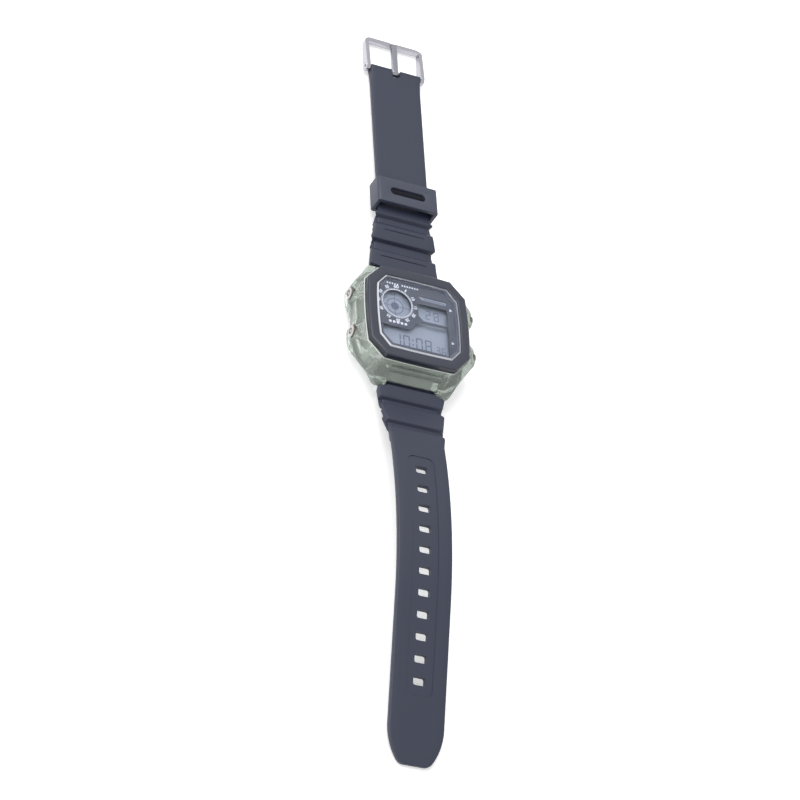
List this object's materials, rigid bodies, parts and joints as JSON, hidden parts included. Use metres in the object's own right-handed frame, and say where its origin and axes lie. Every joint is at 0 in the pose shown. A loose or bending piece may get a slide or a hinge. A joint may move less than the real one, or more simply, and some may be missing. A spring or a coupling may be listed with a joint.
{
  "type": "digital wristwatch",
  "caption": "Digital wristwatch with an octagonal bezel, see-through resin case, side push buttons and an open buckled resin strap.",
  "frame": {"origin": "middle of the case back's outer face", "axes": "+Z out of the dial, +Y towards twelve o'clock and the buckle, +X towards three o'clock"},
  "size_m": [0.043, 0.2606, 0.0229],
  "materials": {
    "clear_green_resin": "translucent, smooth",
    "dark_resin": "satin",
    "clear_plastic": "clear, polished",
    "black_rubber": "matt",
    "face_print": "satin print",
    "white_print": "matt print",
    "lcd_glass": "polished",
    "polariser": "satin film",
    "segment_black": "matt",
    "lamp_white": "gloss",
    "white_plastic": "matt",
    "board_green": "satin",
    "chip_black": "matt",
    "nickel": "satin",
    "chip_brown": "satin",
    "contact_brass": "bright",
    "insulator_film": "smooth film",
    "spring_steel": "bright wire",
    "brushed_steel": "brushed",
    "screw_steel": "bright",
    "button_steel": "polished",
    "strap_resin": "satin",
    "buckle_steel": "fine brushed",
    "pin_steel": "bright"
  },
  "bodies": {
    "watch_case": {"battery": "nickel", "battery_clamp": "nickel", "battery_contact": "contact_brass", "battery_insulator": "insulator_film", "bezel": "dark_resin", "button_contact_springs": "contact_brass", "button_seals": "black_rubber", "button_spring_lower_left": "spring_steel", "button_spring_lower_right": "spring_steel", "button_spring_upper_left": "spring_steel", "button_spring_upper_right": "spring_steel", "case_back": "brushed_steel", "case_back_gasket": "black_rubber", "case_back_screws": "screw_steel", "case_shell": "clear_green_resin", "chip_components": "chip_brown", "circuit_board": "board_green", "controller_chip": "chip_black", "crystal": "clear_plastic", "crystal_gasket": "black_rubber", "dial_markings": "white_print", "face_mask": "face_print", "lamp": "lamp_white", "lcd_connectors": "black_rubber", "lcd_front_glass": "lcd_glass", "lcd_polarisers": "polariser", "lcd_rear_glass": "lcd_glass", "lcd_segments": "segment_black", "light_guide": "clear_plastic", "lug_pin_lower_spring": "spring_steel", "lug_pin_lower_tube": "pin_steel", "lug_pin_upper_spring": "spring_steel", "lug_pin_upper_tube": "pin_steel", "module_frame": "white_plastic", "sounder_disc": "contact_brass", "sounder_spring": "spring_steel", "timing_crystal": "nickel"},
    "button_upper_left": {"button_upper_left": "button_steel", "button_clip_upper_left": "spring_steel"},
    "button_lower_left": {"button_lower_left": "button_steel", "button_clip_lower_left": "spring_steel"},
    "button_upper_right": {"button_upper_right": "button_steel", "button_clip_upper_right": "spring_steel"},
    "button_lower_right": {"button_lower_right": "button_steel", "button_clip_lower_right": "spring_steel"},
    "tip_strap": {"strap_tip_side": "strap_resin"},
    "buckle_strap": {"strap_buckle_side": "strap_resin", "buckle_bar_tube": "pin_steel", "buckle_bar_spring": "spring_steel"},
    "keeper": {"strap_keeper": "strap_resin"},
    "buckle": {"buckle_frame": "buckle_steel"},
    "tongue": {"buckle_tongue": "buckle_steel"},
    "lug_pin_upper_tip_left": {"lug_pin_upper_tip_left": "pin_steel"},
    "lug_pin_upper_tip_right": {"lug_pin_upper_tip_right": "pin_steel"},
    "lug_pin_lower_tip_left": {"lug_pin_lower_tip_left": "pin_steel"},
    "lug_pin_lower_tip_right": {"lug_pin_lower_tip_right": "pin_steel"},
    "buckle_bar_tip_left": {"buckle_bar_tip_left": "pin_steel"},
    "buckle_bar_tip_right": {"buckle_bar_tip_right": "pin_steel"}
  },
  "joints": [
    {"name": "press_upper_left", "type": "slide", "parent": "watch_case", "child": "button_upper_left", "axis": [1, 0, 0], "range_m": [0, 0.0008], "stiffness_N_per_m": 1200, "springref_m": -0.0004, "deforming": ["button_spring_upper_left"]},
    {"name": "press_lower_left", "type": "slide", "parent": "watch_case", "child": "button_lower_left", "axis": [1, 0, 0], "range_m": [0, 0.0008], "stiffness_N_per_m": 1200, "springref_m": -0.0004, "deforming": ["button_spring_lower_left"]},
    {"name": "press_upper_right", "type": "slide", "parent": "watch_case", "child": "button_upper_right", "axis": [-1, 0, 0], "range_m": [0, 0.0008], "stiffness_N_per_m": 1200, "springref_m": -0.0004, "deforming": ["button_spring_upper_right"]},
    {"name": "press_lower_right", "type": "slide", "parent": "watch_case", "child": "button_lower_right", "axis": [-1, 0, 0], "range_m": [0, 0.0008], "stiffness_N_per_m": 1200, "springref_m": -0.0004, "deforming": ["button_spring_lower_right"]},
    {"name": "tip_strap_hinge", "type": "hinge", "parent": "watch_case", "child": "tip_strap", "pos_m": [0, -0.0194, 0.0019], "axis": [1, 0, 0], "range_deg": [-20, 75]},
    {"name": "buckle_strap_hinge", "type": "hinge", "parent": "watch_case", "child": "buckle_strap", "pos_m": [0, 0.0194, 0.0019], "axis": [-1, 0, 0], "range_deg": [-20, 75]},
    {"name": "keeper_slide", "type": "slide", "parent": "buckle_strap", "child": "keeper", "axis": [0, 1, 0], "range_m": [-0.0003, 0.04]},
    {"name": "buckle_hinge", "type": "hinge", "parent": "buckle_strap", "child": "buckle", "pos_m": [0, 0.10298, 0.00546], "axis": [1, 0, 0], "range_deg": [-60, 60]},
    {"name": "tongue_hinge", "type": "hinge", "parent": "buckle", "child": "tongue", "pos_m": [0, 0.10298, 0.00546], "axis": [1, 0, 0], "range_deg": [0, 60]},
    {"name": "lug_pin_upper_tip_left_slide", "type": "slide", "parent": "watch_case", "child": "lug_pin_upper_tip_left", "axis": [1, 0, 0], "range_m": [0, 0.0012], "stiffness_N_per_m": 800, "springref_m": -0.001, "deforming": ["lug_pin_upper_spring"]},
    {"name": "lug_pin_upper_tip_right_slide", "type": "slide", "parent": "watch_case", "child": "lug_pin_upper_tip_right", "axis": [-1, 0, 0], "range_m": [0, 0.0012], "stiffness_N_per_m": 800, "springref_m": -0.001, "deforming": ["lug_pin_upper_spring"]},
    {"name": "lug_pin_lower_tip_left_slide", "type": "slide", "parent": "watch_case", "child": "lug_pin_lower_tip_left", "axis": [1, 0, 0], "range_m": [0, 0.0012], "stiffness_N_per_m": 800, "springref_m": -0.001, "deforming": ["lug_pin_lower_spring"]},
    {"name": "lug_pin_lower_tip_right_slide", "type": "slide", "parent": "watch_case", "child": "lug_pin_lower_tip_right", "axis": [-1, 0, 0], "range_m": [0, 0.0012], "stiffness_N_per_m": 800, "springref_m": -0.001, "deforming": ["lug_pin_lower_spring"]},
    {"name": "buckle_bar_tip_left_slide", "type": "slide", "parent": "buckle_strap", "child": "buckle_bar_tip_left", "axis": [1, 0, 0], "range_m": [0, 0.0016], "stiffness_N_per_m": 800, "springref_m": -0.001, "deforming": ["buckle_bar_spring"]},
    {"name": "buckle_bar_tip_right_slide", "type": "slide", "parent": "buckle_strap", "child": "buckle_bar_tip_right", "axis": [-1, 0, 0], "range_m": [0, 0.0016], "stiffness_N_per_m": 800, "springref_m": -0.001, "deforming": ["buckle_bar_spring"]}
  ]
}
